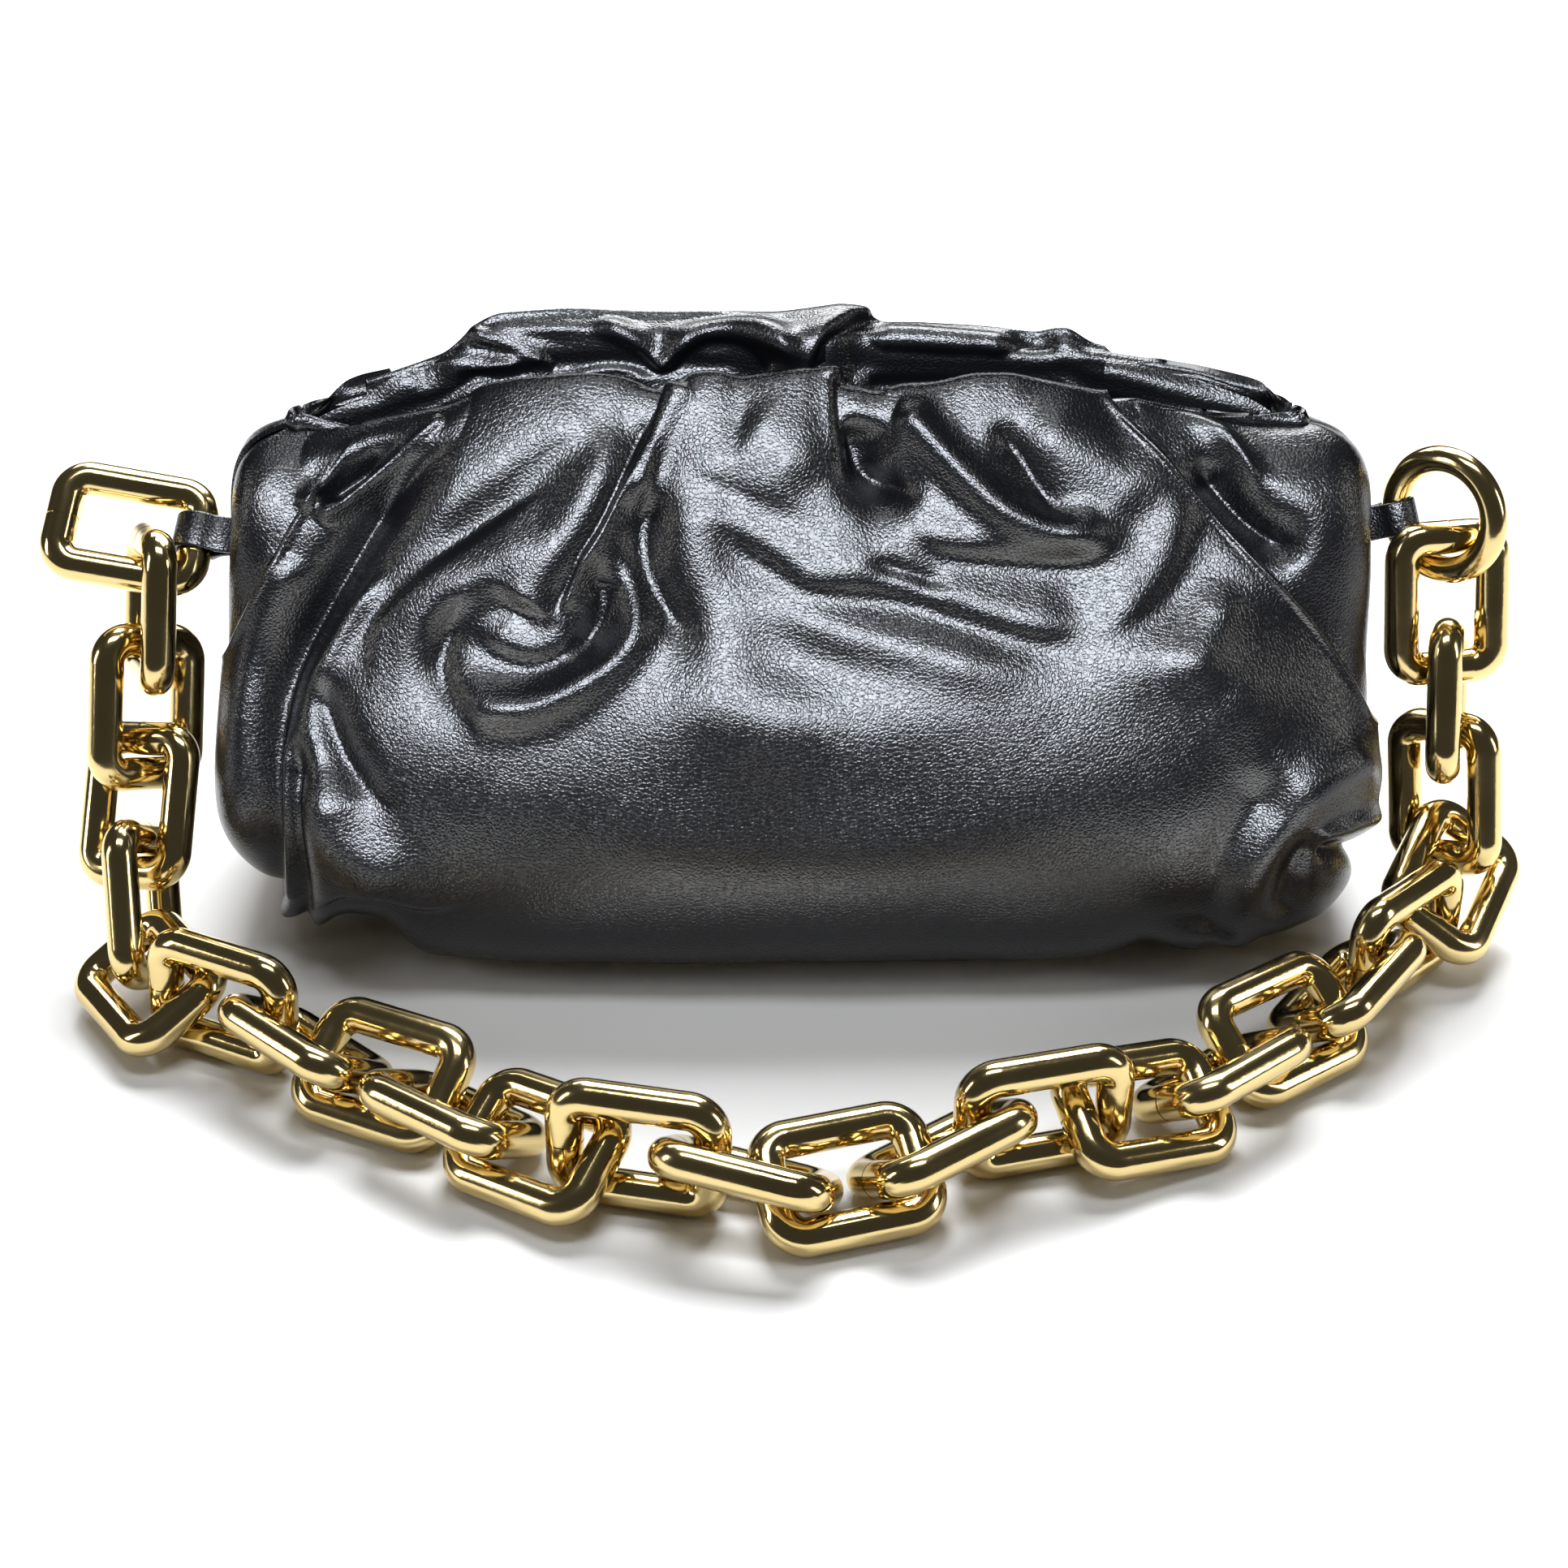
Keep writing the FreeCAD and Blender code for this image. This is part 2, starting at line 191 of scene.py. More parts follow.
def gold_material(name):
    m, nt, bsdf = new_material(name)
    L = nt.links.new
    co = add(nt, "ShaderNodeTexCoord")
    n1 = add(nt, "ShaderNodeTexNoise", Scale=55.0, Detail=3.0)
    L(co.outputs["Object"], n1.inputs["Vector"])
    n2 = add(nt, "ShaderNodeTexNoise", Scale=420.0, Detail=2.0)
    L(co.outputs["Object"], n2.inputs["Vector"])
    r = add(nt, "ShaderNodeMapRange")
    r.inputs["From Min"].default_value = 0.3
    r.inputs["From Max"].default_value = 0.7
    r.inputs["To Min"].default_value = 0.10
    r.inputs["To Max"].default_value = 0.17
    L(n1.outputs["Fac"], r.inputs["Value"])
    L(r.outputs["Result"], bsdf.inputs["Roughness"])
    c = add(nt, "ShaderNodeMix")
    c.data_type = "RGBA"
    c.inputs[6].default_value = (0.69, 0.525, 0.225, 1)
    c.inputs[7].default_value = (0.76, 0.595, 0.285, 1)
    L(n1.outputs["Fac"], c.inputs[0])
    L(c.outputs[2], bsdf.inputs["Base Color"])
    bump = add(nt, "ShaderNodeBump", Strength=0.05, Distance=0.0006)
    L(n2.outputs["Fac"], bump.inputs["Height"])
    L(bump.outputs["Normal"], bsdf.inputs["Normal"])
    bsdf.inputs["Metallic"].default_value = 1.0
    return m


def steel_material(name):
    m, nt, bsdf = new_material(name)
    L = nt.links.new
    co = add(nt, "ShaderNodeTexCoord")
    n = add(nt, "ShaderNodeTexNoise", Scale=300.0, Detail=3.0)
    L(co.outputs["Object"], n.inputs["Vector"])
    r = add(nt, "ShaderNodeMapRange")
    r.inputs["To Min"].default_value = 0.25
    r.inputs["To Max"].default_value = 0.45
    L(n.outputs["Fac"], r.inputs["Value"])
    L(r.outputs["Result"], bsdf.inputs["Roughness"])
    bsdf.inputs["Base Color"].default_value = (0.05, 0.05, 0.055, 1)
    bsdf.inputs["Metallic"].default_value = 1.0
    return m


LEATHER = leather_material("black_leather")
LINING = lining_material("lining_cloth")
GOLD = gold_material("polished_gold")
STEEL = steel_material("hidden_steel")


def set_material(obj, mat):
    obj.data.materials.clear()
    obj.data.materials.append(mat)


for name, o in nodes.items():
    if name.startswith("chain_link") or name == "end_ring":
        set_material(o, GOLD)
    elif name in ("front_frame", "rear_frame", "left_pin", "right_pin", "front_magnet", "rear_magnet", "left_anchor", "right_anchor"):
        set_material(o, STEEL)
    elif name == "lining":
        set_material(o, LINING)
    else:
        set_material(o, LEATHER)


# ------------------------------------------------------------------ leather: smooth form
def cubic(values, tau):
    """Smooth curve through the rows of values (n, ...), at places tau in 0..n-1."""
    n = len(values)
    A = np.zeros((n, n))
    B = np.zeros((n, n))
    A[0, 0] = A[-1, -1] = 1.0
    for i in range(1, n - 1):
        A[i, i - 1:i + 2] = (1, 4, 1)
        B[i, i - 1:i + 2] = (6, -12, 6)
    K = np.linalg.solve(A, B)
    M = np.tensordot(K, values, axes=(1, 0))
    i = np.clip(np.floor(tau).astype(int), 0, n - 2)
    f = (tau - i)
    f = f.reshape(f.shape + (1,) * (values.ndim - 1))
    return (1 - f) * values[i] + f * values[i + 1] + ((1 - f) ** 3 - (1 - f)) * M[i] / 6 + (f ** 3 - f) * M[i + 1] / 6


def table(points, x):
    p = np.array(points, float)
    return np.interp(x, p[:, 0], p[:, 1])


def smooth_table(points, sigma, lo, hi, step=0.5):
    """A table of (x, value) points, softened, as a function of x."""
    xs = np.arange(lo - 30, hi + 30, step)
    v = table(points, xs)
    k = np.arange(-4 * sigma, 4 * sigma + step, step)
    w = np.exp(-0.5 * (k / sigma) ** 2)
    v = np.convolve(np.pad(v, len(k) // 2, mode="edge"), w / w.sum(), mode="valid")[: len(xs)]
    return lambda x: np.interp(x, xs, v)


SLIT = 123.0            # half length of the mouth's opening
SLIT_Z = 134.0          # its height at the ends
FRONT_Y, REAR_Y = -9.0, 13.5

# the two lips' top edges as they are seen, in picture pixels
FRONT_EDGE = [(440, 528), (480, 516), (540, 506), (561, 498), (589, 478), (635, 471), (676, 469), (722, 465), (759, 468), (795, 480), (815, 490), (826, 482),
              (851, 466), (883, 465), (910, 474), (960, 467), (1023, 460), (1047, 470), (1062, 486), (1085, 492), (1103, 482), (1152, 480), (1200, 468), (1248, 467),
              (1307, 480), (1361, 489), (1398, 481), (1457, 497), (1505, 508), (1553, 512), (1600, 524)]
REAR_EDGE = [(355, 513), (433, 476), (497, 453), (548, 436), (566, 420), (586, 400), (612, 388), (699, 382), (800, 386), (960, 386), (1035, 379), (1068, 386), (1090, 400), (1200, 404),
             (1275, 410), (1316, 404), (1345, 424), (1409, 437), (1478, 452), (1553, 478), (1591, 494)]


def edge_heights(pts, y0):
    out = []
    for px, py in pts:
        y = y0
        for _ in range(3):
            x, z = px_at_depth_y(px, py, y)
            y = y0 * max(0.0, 1 - abs(x / SLIT) ** 3)
        out.append((x, z))
    out = [(x, z) for x, z in out if abs(x) < SLIT - 2]
    return [(-SLIT, SLIT_Z)] + out + [(SLIT, SLIT_Z)]


front_top = smooth_table(edge_heights(FRONT_EDGE, FRONT_Y), 1.5, -SLIT, SLIT)
rear_top = smooth_table(edge_heights(REAR_EDGE, REAR_Y), 1.5, -SLIT, SLIT)

# height, half width, half depth, fullness of the plan outline
LEVELS = [
    (0.3, 112.0, 33.0, 2.8),
    (0.7, 127.0, 41.0, 3.0),
    (4.0, 137.0, 47.5, 3.3),
    (12.0, 142.5, 57.0, 3.7),
    (28.0, 146.6, 60.9, 4.2),
    (44.0, 147.8, 59.5, 4.5),
    (59.0, 146.8, 55.6, 4.4),
    (74.0, 145.6, 49.1, 4.0),
    (90.0, 144.8, 40.5, 3.5),
]
T_CREST = 11            # place of the lip's top edge along a profile
T_END = 16


def outline(c, s, a, b, n):
    e = 2.0 / n
    return a * np.sign(c) * np.abs(c) ** e, b * np.sign(s) * np.abs(s) ** e


def half_outline(a, b, n):
    """Half an outline, from the left end to the right end, in steps of even length."""
    t = np.linspace(math.pi, 0, 20001)
    x, y = outline(np.cos(t), np.sin(t), a, b, n)
    d = np.concatenate([[0], np.cumsum(np.hypot(np.diff(x), np.diff(y)))])
    u = np.linspace(0, d[-1], 2001)
    return np.interp(u, d, x), np.interp(u, d, y)


PLAN = [half_outline(a, b, n) for z, a, b, n in LEVELS]
PLAN_U = np.linspace(0, 1, 2001)


def form(theta, tau):
    """The pouch's smooth form in mm: theta goes round (0 at the right end, the front at 3/2 pi), tau along a profile from under the base, over the lip and down inside it."""
    theta, tau = np.broadcast_arrays(theta, tau)
    shape = theta.shape
    th, ta = theta.ravel(), tau.ravel()
    front = th > math.pi
    side = np.where(front, -1.0, 1.0)
    u = np.where(front, th - math.pi, math.pi - th) / math.pi
    ctrl = []
    for (z, a, b, n), (xs, ys) in zip(LEVELS, PLAN):
        x = np.interp(u, PLAN_U, xs)
        ctrl.append(np.stack([x, side * np.interp(u, PLAN_U, ys), np.full_like(x, z)], -1))
    c = ctrl[-1][:, 0] / LEVELS[-1][1]
    cx = SLIT * c
    taper = np.maximum(0.0, 1 - np.abs(c) ** 3)
    cy = np.where(front, FRONT_Y, REAR_Y) * taper
    cz = np.where(front, front_top(cx), rear_top(cx))
    crest = np.stack([cx, cy, cz], -1)
    last = ctrl[-1]
    # the front and back lean in like a tent, the ends have round shoulders
    e = np.abs(c) ** 6
    for w0, w1, h0, h1 in ((0.63, 0.93, 0.42, 0.52), (0.29, 0.60, 0.77, 0.87)):
        p = crest + (last - crest) * (w0 + (w1 - w0) * e)[:, None]
        p[:, 2] = last[:, 2] + (cz - last[:, 2]) * (h0 + (h1 - h0) * e)
        ctrl.append(p)
    ctrl.append(crest)
    # over the rolled edge, then the hem and the lining inside it
    # the rear lip's inner face hangs straight down under its roll, except at the magnets
    hang = np.where(front, 0.0, 1 - np.exp(-(cx / 13.0) ** 4)) * np.clip(taper * 1.6, 0, 1)
    ctrl.append(np.stack([cx, cy * (0.55 + 0.23 * hang), cz - 0.7 + 0.2 * hang], -1))
    ctrl.append(np.stack([cx, side * (0.6 + 0.9 * taper + 4.9 * hang), cz - 3.2 - 0.4 * hang], -1))
    ctrl.append(np.stack([cx, side * (0.55 + 5.2 * hang), cz - 13.0 - 0.5 * hang], -1))
    ctrl.append(np.stack([cx, side * (0.7 + 5.0 * taper - 2.0 * hang), cz - 24.0], -1))
    ctrl.append(np.stack([cx, side * (1.0 + 31.0 * taper), cz - 32.0 - 13.0 * taper], -1))
    ctrl = np.array(ctrl)
    n = len(ctrl)
    A = np.zeros((n, n))
    B = np.zeros((n, n))
    A[0, 0] = A[-1, -1] = 1.0
    for i in range(1, n - 1):
        A[i, i - 1:i + 2] = (1, 4, 1)
        B[i, i - 1:i + 2] = (6, -12, 6)
    M = np.tensordot(np.linalg.solve(A, B), ctrl, axes=(1, 0))
    i = np.clip(np.floor(ta).astype(int), 0, n - 2)
    f = (ta - i)[:, None]
    k = np.arange(len(ta))
    P = (1 - f) * ctrl[i, k] + f * ctrl[i + 1, k] + ((1 - f) ** 3 - (1 - f)) * M[i, k] / 6 + (f ** 3 - f) * M[i + 1, k] / 6
    P[:, 2] = np.maximum(P[:, 2], 0.25)
    return P.reshape(shape + (3,))


def normals(P):
    """Outward normals of a grid (rows along tau, columns along rising theta)."""
    du = np.gradient(P, axis=1)
    dv = np.gradient(P, axis=0)
    n = np.cross(du, dv)
    return n / np.maximum(np.linalg.norm(n, axis=-1, keepdims=True), 1e-9)


# ------------------------------------------------------------------ leather: folds
def curve_points(pts, step=2.0):
    p = np.array(pts, float)
    n = len(p)
    if n > 2:
        t = cubic(p, np.linspace(0, n - 1, 40 * (n - 1)))
    else:
        t = p[0] + (p[1] - p[0]) * np.linspace(0, 1, 40)[:, None]
    d = np.concatenate([[0], np.cumsum(np.linalg.norm(np.diff(t, axis=0), axis=1))])
    m = max(12, int(d[-1] / step))
    s = np.linspace(0, d[-1], m)
    return np.stack([np.interp(s, d, t[:, 0]), np.interp(s, d, t[:, 1])], -1), s / d[-1]


def near(q, pts, reach, tail=9.0):
    """For picture places q (N, 2): which are within reach of a curve, how far to its side (+ left of its direction as seen), and how far along."""
    c, s = curve_points(pts)
    tang = np.gradient(c, axis=0)
    tang /= np.linalg.norm(tang, axis=1)[:, None]
    lo, hi = c.min(0) - reach, c.max(0) + reach
    idx = np.nonzero(((q > lo) & (q < hi)).all(1))[0]
    if not len(idx):
        return idx, None, None, None
    dist, along, cap = np.empty(len(idx)), np.empty(len(idx)), np.empty(len(idx))
    for i in range(0, len(idx), 20000):
        r = q[idx[i:i + 20000]][:, None, :] - c[None]
        d2 = (r ** 2).sum(-1)
        low = d2.min(1)
        w = np.exp(-(d2 - low[:, None]) / (2 * (30.0 + 0.12 * low[:, None])))
        w /= w.sum(1)[:, None]
        side = (tang[None, :, 1] * r[..., 0] - tang[None, :, 0] * r[..., 1])
        dist[i:i + 20000] = (side * w).sum(1)
        along[i:i + 20000] = w @ s
        # past its ends a curve dies out
        j = d2.argmin(1)
        e0 = np.where(j <= 1, -(r[:, 0] * tang[0]).sum(-1), 0.0)
        e1 = np.where(j >= len(c) - 2, (r[:, -1] * tang[-1]).sum(-1), 0.0)
        cap[i:i + 20000] = np.exp(-(np.maximum(np.maximum(e0, e1), 0.0) / tail) ** 2)
    return idx, dist, along, cap


def fade(s, a, b):
    f = np.ones_like(s)
    if a > 0:
        t = np.clip((s - 0.02) / a, 0, 1)
        f *= t * t * (3 - 2 * t)
    if b > 0:
        t = np.clip((0.98 - s) / b, 0, 1)
        f *= t * t * (3 - 2 * t)
    return f


def fold_height(q, folds):
    """Height in mm at picture places q for a list of folds.
    ("soft", curve, height, width, fade in, fade out): a round ridge or valley.
    ("v", curve, height, width, fade in, fade out): a valley with a narrow bottom.
    ("step", curve, height left, width left, height right, width right, sharpness, fade in, fade out): a pleat."""
    h = np.zeros(len(q))
    for f in folds:
        if f[0] in ("soft", "v"):
            kind, pts, amp, w, a, b = f
            idx, d, s, cap = near(q, pts, (2.6 if kind == "soft" else 4.0) * w, 6 + 0.9 * w)
            if len(idx):
                if kind == "soft":
                    v = np.exp(-(d / w) ** 2)
                else:
                    c = 0.6 * w
                    v = np.exp((c - np.sqrt(d * d + c * c)) / w) * np.exp(-(d / (3.2 * w)) ** 4)
                h[idx] += amp * v * fade(s, a, b) * cap
        else:
            _, pts, la, lw, ra, rw, sharp, a, b = f
            idx, d, s, cap = near(q, pts, 3.5 * max(lw, rw), 6 + 0.6 * max(lw, rw))
            if len(idx):
                left = 1 / (1 + np.exp(-np.clip(d / sharp, -40, 40)))
                v = la * left * np.exp(-np.maximum(d, 0) / lw) + ra * (1 - left) * np.exp(-np.maximum(-d, 0) / rw)
                far = np.exp(-(np.abs(d) / (2.4 * np.where(d > 0, lw, rw))) ** 4)
                h[idx] += v * far * fade(s, a, b) * cap
    return h


FRONT_FOLDS = [
    # the sharp pleat, its tongue and the curled hollow under it
    ("step", [(828, 462), (817, 488), (796, 536), (768, 594), (739, 653), (718, 687), (700, 727), (680, 768)], 2.2, 20, -1.4, 16, 1.8, 0.02, 0.10),
    ("soft", [(752, 508), (738, 580), (702, 655), (658, 718), (632, 762)], 3.6, 42, 0.3, 0.1),
    ("soft", [(750, 640), (782, 735), (764, 800), (690, 856), (612, 872), (560, 838), (556, 780)], 4.0, 27, 0.25, 0.25),
    ("v", [(718, 684), (742, 738), (726, 788), (690, 816)], -3.4, 20, 0.3, 0.3),
    ("step", [(712, 742), (716, 776), (684, 806), (645, 812), (604, 794), (586, 762)], -3.4, 26, 2.4, 34, 8.0, 0.15, 0.2),
    # long folds running down to the left
    ("step", [(748, 520), (702, 542), (647, 574), (608, 606), (539, 650), (480, 692)], -3.2, 46, 2.8, 52, 17.0, 0.15, 0.3),
    ("step", [(700, 582), (593, 656), (521, 707), (470, 758), (455, 802), (450, 880)], 1.8, 36, -1.2, 20, 4.5, 0.25, 0.35),
    ("soft", [(690, 628), (610, 690), (545, 740), (508, 800), (502, 880)], 2.0, 30, 0.25, 0.4),
    ("v", [(580, 720), (546, 790), (552, 850), (610, 910)], -3.6, 18, 0.3, 0.4),
    # the looped pleat at the left shoulder and the deep fold beside it
    ("soft", [(455, 518), (412, 569), (366, 630)], 2.2, 13, 0.1, 0.1),
    ("v", [(506, 518), (440, 572), (388, 618)], -5.5, 11, 0.2, 0.15),
    ("soft", [(560, 503), (521, 536), (484, 562), (434, 605), (384, 645)], 3.2, 11, 0.1, 0.1),
    ("v", [(560, 534), (484, 600), (434, 678), (378, 768), (338, 842), (320, 930), (318, 1010), (322, 1150)], -8.5, 19, 0.2, 0.02),
    ("soft", [(470, 690), (412, 780), (384, 840), (376, 900)], 2.6, 17, 0.25, 0.3),
    ("v", [(376, 808), (404, 896), (440, 966), (500, 1016)], -4.2, 16, 0.25, 0.4),
    ("soft", [(392, 930), (404, 1030), (470, 1076), (560, 1092)], 3.6, 42, 0.25, 0.35),
    ("v", [(363, 890), (358, 990), (366, 1100), (372, 1170)], -5.0, 11, 0.25, 0.05),
    ("soft", [(340, 890), (339, 980), (345, 1140)], 2.2, 9, 0.2, 0.1),
    ("soft", [(362, 668), (338, 724), (308, 800), (288, 900), (286, 1000), (304, 1090)], 2.2, 26, 0.1, 0.2),
    # lower left, where the hem lifts off the floor
    ("step", [(372, 1140), (410, 1118), (450, 1112), (520, 1124), (600, 1112)], 1.6, 26, -1.6, 16, 3.0, 0.2, 0.4),
    # middle
    ("soft", [(842, 466), (832, 494), (804, 560), (782, 625), (778, 660)], 1.8, 14, 0.05, 0.3),
    ("v", [(800, 580), (794, 701), (836, 772), (880, 830)], -3.8, 20, 0.2, 0.4),
    ("soft", [(850, 556), (858, 650), (880, 740), (915, 830), (970, 890)], 2.2, 52, 0.25, 0.4),
    ("step", [(836, 606), (897, 652), (968, 701), (1010, 722), (1100, 728), (1189, 756), (1264, 778), (1316, 778), (1360, 752)], 3.2, 38, -2.6, 50, 10.0, 0.2, 0.15),
    ("soft", [(880, 690), (950, 738), (1040, 776), (1140, 800), (1240, 822), (1330, 812)], 2.4, 36, 0.3, 0.3),
    ("step", [(826, 572), (897, 594), (960, 620), (1030, 650)], 2.2, 36, -1.6, 36, 12.0, 0.25, 0.4),
    ("soft", [(906, 512), (962, 550), (1010, 610)], 1.8, 50, 0.25, 0.4),
    ("v", [(1060, 690), (1120, 706), (1180, 726)], -1.5, 10, 0.3, 0.3),
    ("soft", [(800, 810), (880, 862), (970, 880), (1070, 866)], 1.5, 50, 0.35, 0.4),
    # the belly's upper edge, where the leather sags
    ("soft", [(620, 880), (720, 876), (800, 868), (900, 890), (1000, 900), (1150, 868), (1290, 832), (1420, 812), (1540, 850)], 1.7, 72, 0.3, 0.3),
    ("soft", [(1330, 780), (1420, 800), (1520, 860), (1580, 930)], 2.4, 60, 0.3, 0.3),
    ("soft", [(640, 1030), (820, 1066), (1000, 1076), (1200, 1058), (1340, 1030)], 1.2, 56, 0.3, 0.3),
    # the right hollow and the ridges that leave it
    ("v", [(1050, 452), (1050, 478), (1058, 548), (1086, 592), (1150, 618)], -8.0, 19, 0.05, 0.35),
    ("soft", [(1032, 448), (1030, 474), (1036, 540), (1058, 596)], 2.0, 16, 0.05, 0.35),
    ("soft", [(1061, 512), (1078, 494), (1097, 481)], 1.6, 8, 0.2, 0.1),
    ("soft", [(1098, 490), (1144, 540), (1212, 608), (1264, 640), (1330, 656), (1410, 668)], 3.6, 25, 0.08, 0.25),
    ("v", [(1216, 514), (1264, 572), (1300, 626), (1350, 646)], -2.8, 14, 0.25, 0.3),
    ("soft", [(1250, 510), (1330, 552), (1396, 600), (1430, 640)], 2.2, 48, 0.25, 0.25),
    ("step", [(1096, 650), (1150, 672), (1189, 681), (1264, 685), (1330, 684), (1390, 676)], 3.0, 32, -3.4, 36, 9.0, 0.25, 0.25),
    ("step", [(1482, 590), (1470, 640), (1450, 698), (1404, 756), (1336, 802)], -3.8, 38, 3.0, 40, 12.0, 0.25, 0.3),
    ("soft", [(1520, 700), (1484, 790), (1436, 870)], 2.2, 36, 0.3, 0.35),
    # right shoulder
    ("soft", [(1384, 486), (1440, 486), (1500, 522), (1543, 572), (1574, 616)], 2.8, 14, 0.06, 0.25),
    ("step", [(1444, 486), (1510, 529), (1543, 572), (1568, 612)], -1.8, 24, 1.0, 13, 2.6, 0.1, 0.25),
    ("v", [(1470, 540), (1543, 640), (1626, 694)], -6.5, 18, 0.25, 0.25),
    # puffed corner at the lower right, with the slot in it
    ("soft", [(1712, 928), (1634, 962), (1572, 1032), (1530, 1112), (1512, 1180)], 3.0, 30, 0.1, 0.05),
    ("v", [(1600, 946), (1545, 1010), (1506, 1086), (1490, 1170)], -3.4, 34, 0.25, 0.1),
    ("v", [(1580, 1150), (1594, 1078), (1630, 1026)], -3.4, 13, 0.2, 0.25),
    ("v", [(1624, 1050), (1661, 1054), (1722, 1034)], -6.0, 10, 0.15, 0.0),
    ("soft", [(1620, 1036), (1654, 1022), (1722, 996)], 1.8, 12, 0.15, 0.0),
]

# folds of the rear lip, seen on its inner face above the front lip
REAR_LIP_FOLDS = [
    # the lobe at the left, in front of the rest
    ("step", [(500, 452), (560, 440), (610, 435), (660, 434), (678, 446), (677, 484)], -0.6, 16, 4.2, 34, 4.5, 0.3, 0.0),
    ("soft", [(652, 452), (575, 454), (505, 468), (440, 496)], 1.6, 13, 0.1, 0.3),
    ("v", [(610, 480), (552, 470), (506, 480)], -4.6, 12, 0.2, 0.2),
    ("v", [(500, 500), (450, 496), (390, 512)], -3.6, 9, 0.2, 0.2),
    # the long piece, its turned edge and the hollows under it
    ("soft", [(588, 398), (590, 410), (612, 419), (646, 427), (672, 436)], 1.8, 9, 0.1, 0.05),
    ("soft", [(690, 478), (720, 462), (770, 458), (812, 480)], 2.4, 9, 0.2, 0.2),
    ("soft", [(720, 394), (770, 412), (806, 438), (822, 470)], 2.6, 12, 0.3, 0.15),
    ("soft", [(812, 470), (832, 428), (876, 410), (930, 410), (976, 430), (1000, 452)], 3.8, 13, 0.15, 0.2),
    ("v", [(850, 440), (892, 446), (940, 470)], -4.6, 16, 0.2, 0.1),
    ("step", [(1078, 386), (1040, 401), (1012, 424), (996, 468)], -2.4, 24, 3.2, 44, 2.2, 0.0, 0.0),
    # the middle right piece
    ("soft", [(1060, 408), (1120, 416), (1200, 424), (1270, 430)], 3.4, 17, 0.15, 0.2),
    ("v", [(1060, 472), (1120, 460), (1190, 458), (1240, 444)], -5.5, 14, 0.1, 0.2),
    ("v", [(1308, 422), (1276, 440), (1236, 462)], -3.6, 16, 0.3, 0.1),
    # the right piece, rolled forward
    ("step", [(1222, 468), (1290, 444), (1355, 438), (1440, 446), (1500, 462)], -0.6, 12, 4.0, 26, 5.0, 0.15, 0.3),
    ("v", [(1280, 474), (1330, 464), (1372, 478)], -5.5, 9, 0.2, 0.2),
    ("v", [(1470, 494), (1530, 487), (1590, 502)], -3.6, 9, 0.2, 0.2),
]


def wander(P, seed, scale, amp):
    """Slow irregular waves, so that no stretch is perfectly even."""
    rng = np.random.RandomState(seed)
    h = np.zeros(P.shape[:-1])
    for i in range(14):
        k = rng.normal(size=3)
        k *= 2 * math.pi / (scale * rng.uniform(0.6, 1.8)) / np.linalg.norm(k)
        h += np.sin(P @ k + rng.uniform(0, 6.28)) / 14 ** 0.5
    return amp * h


# ------------------------------------------------------------------ leather: meshes
def shell_mesh(name, outer, inner, mats, inner_index=0):
    """A thin closed shell from two grids of the same size."""
    r, c = outer.shape[:2]
    v = np.concatenate([outer.reshape(-1, 3), inner.reshape(-1, 3)]) * MM
    g = np.arange(r * c).reshape(r, c)
    a, b, d, e = g[:-1, :-1].ravel(), g[:-1, 1:].ravel(), g[1:, 1:].ravel(), g[1:, :-1].ravel()
    f_out = np.stack([a, b, d, e], -1)
    off = r * c
    f_in = np.stack([a, e, d, b], -1) + off
    rim = np.concatenate([g[0, :], g[1:, -1], g[-1, -2::-1], g[-2:0:-1, 0]])
    nxt = np.roll(rim, -1)
    f_rim = np.stack([nxt, rim, rim + off, nxt + off], -1)
    faces = np.concatenate([f_out, f_in, f_rim])
    me = bpy.data.meshes.new(name)
    me.vertices.add(len(v))
    me.vertices.foreach_set("co", v.astype(np.float32).ravel())
    me.loops.add(faces.size)
    me.loops.foreach_set("vertex_index", faces.astype(np.int32).ravel())
    me.polygons.add(len(faces))
    me.polygons.foreach_set("loop_start", np.arange(0, faces.size, 4, dtype=np.int32))
    me.polygons.foreach_set("loop_total", np.full(len(faces), 4, np.int32))
    idx = np.zeros(len(faces), np.int32)
    idx[len(f_out):len(f_out) + len(f_in)] = inner_index
    me.polygons.foreach_set("material_index", idx)
    me.update(calc_edges=True)
    me.validate()
    me.polygons.foreach_set("use_smooth", np.ones(len(me.polygons), bool))
    # the cut edges stay crisp
    sharp = np.zeros(len(me.edges), bool)
    ev = np.zeros(len(me.edges) * 2, np.int32)
    me.edges.foreach_get("vertices", ev)
    on_rim = np.zeros(len(v), bool)
    on_rim[rim] = True
    on_rim[rim + off] = True
    ev = ev.reshape(-1, 2)
    same = (ev[:, 0] < off) == (ev[:, 1] < off)
    sharp = on_rim[ev].all(1) & same
    me.edges.foreach_set("use_edge_sharp", sharp)
    o = bpy.data.objects.new(name, me)
    bpy.context.scene.collection.objects.link(o)
    for m in mats:
        me.materials.append(m)
    return o


# the seams between the panels and the gussets as they are seen, in picture pixels (down, across)
SEAM_LEFT = [(518, 455), (569, 412), (631, 364), (715, 320), (780, 285), (830, 262), (880, 247), (935, 240), (985, 248), (1030, 264), (1070, 280), (1105, 296), (1145, 308), (1180, 322)]
SEAM_RIGHT = [(492, 1366), (548, 1425), (590, 1462), (652, 1519), (675, 1536), (720, 1580), (765, 1623), (810, 1655), (855, 1680), (907, 1703), (960, 1718), (1010, 1740)]


